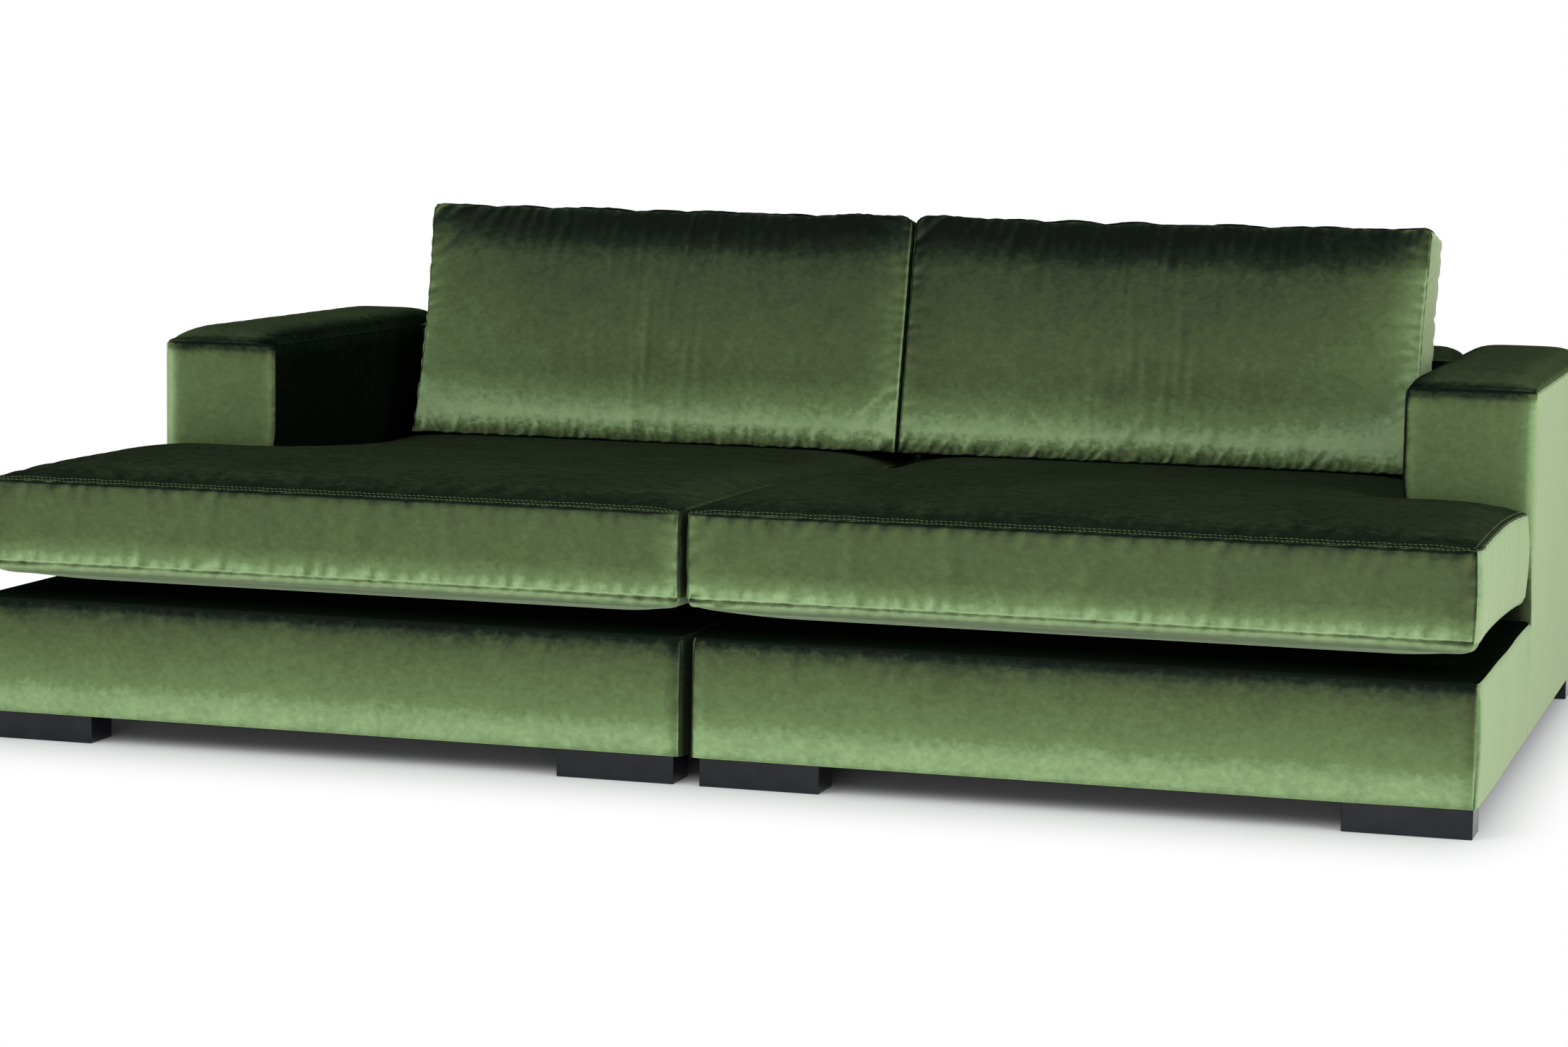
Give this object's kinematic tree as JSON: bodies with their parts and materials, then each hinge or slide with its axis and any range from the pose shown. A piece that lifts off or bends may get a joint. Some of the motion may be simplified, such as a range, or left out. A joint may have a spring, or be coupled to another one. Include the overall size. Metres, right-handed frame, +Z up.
{
  "type": "lounge sofa",
  "caption": "Deep lounge sofa in two modules, with low arms, wings in front of the arms, loose L-shaped seat cushions and loose back cushions.",
  "frame": {"origin": "on the floor under the centre of the sofa's bounding box", "axes": "+X towards the right-hand module as the picture shows it, +Y from the front to the back, +Z up"},
  "size_m": [2.452, 1.512, 0.8559],
  "materials": {
    "green_velvet": "satin",
    "timber": "matte",
    "plywood": "matte",
    "foam": "matte",
    "webbing": "matte",
    "dust_cloth": "matte",
    "zinc_steel": "satin",
    "gloss_black": "gloss"
  },
  "bodies": {
    "left_module": {"left_base_front_rail": "timber", "left_base_rear_rail": "timber", "left_base_inner_rail": "timber", "left_base_arm_rail": "timber", "left_wing_rails": "timber", "left_cross_rails": "timber", "left_foot_blocks": "timber", "left_arm_panels": "plywood", "left_arm_top_board": "plywood", "left_back_ribs": "plywood", "left_back_panels": "plywood", "left_deck_pad": "foam", "left_arm_top_pad": "foam", "left_back_top_pad": "foam", "left_base_cover": "green_velvet", "left_arm_cover": "green_velvet", "left_back_cover": "green_velvet", "left_webbing": "webbing", "left_dust_cover": "dust_cloth", "left_frame_bolts": "zinc_steel", "left_foot_screws": "zinc_steel", "left_foot_front_inner": "gloss_black", "left_foot_front_outer": "gloss_black", "left_foot_rear_inner": "gloss_black", "left_foot_rear_outer": "gloss_black", "left_connector_dowels": "zinc_steel"},
    "right_module": {"right_base_front_rail": "timber", "right_base_rear_rail": "timber", "right_base_inner_rail": "timber", "right_base_arm_rail": "timber", "right_wing_rails": "timber", "right_cross_rails": "timber", "right_foot_blocks": "timber", "right_arm_panels": "plywood", "right_arm_top_board": "plywood", "right_back_ribs": "plywood", "right_back_panels": "plywood", "right_deck_pad": "foam", "right_arm_top_pad": "foam", "right_back_top_pad": "foam", "right_base_cover": "green_velvet", "right_arm_cover": "green_velvet", "right_back_cover": "green_velvet", "right_webbing": "webbing", "right_dust_cover": "dust_cloth", "right_frame_bolts": "zinc_steel", "right_foot_screws": "zinc_steel", "right_foot_front_inner": "gloss_black", "right_foot_front_outer": "gloss_black", "right_foot_rear_inner": "gloss_black", "right_foot_rear_outer": "gloss_black", "right_connector_sleeves": "zinc_steel"},
    "left_seat_cushion": {"left_seat_core": "foam", "left_seat_cover": "green_velvet"},
    "right_seat_cushion": {"right_seat_core": "foam", "right_seat_cover": "green_velvet"},
    "left_back_cushion": {"left_back_cushion_core": "foam", "left_back_cushion_cover": "green_velvet"},
    "right_back_cushion": {"right_back_cushion_core": "foam", "right_back_cushion_cover": "green_velvet"}
  },
  "joints": [
    {"name": "modules_apart", "type": "slide", "parent": "left_module", "child": "right_module", "axis": [1, 0, 0], "range_m": [0, 0.3]},
    {"name": "left_seat_lift", "type": "slide", "parent": "left_module", "child": "left_seat_cushion", "axis": [0, 0, 1], "range_m": [0, 0.42]},
    {"name": "right_seat_lift", "type": "slide", "parent": "right_module", "child": "right_seat_cushion", "axis": [0, 0, 1], "range_m": [0, 0.42]},
    {"name": "left_back_lift", "type": "slide", "parent": "left_seat_cushion", "child": "left_back_cushion", "axis": [0, 0, 1], "range_m": [0, 0.3]},
    {"name": "right_back_lift", "type": "slide", "parent": "right_seat_cushion", "child": "right_back_cushion", "axis": [0, 0, 1], "range_m": [0, 0.3]}
  ]
}
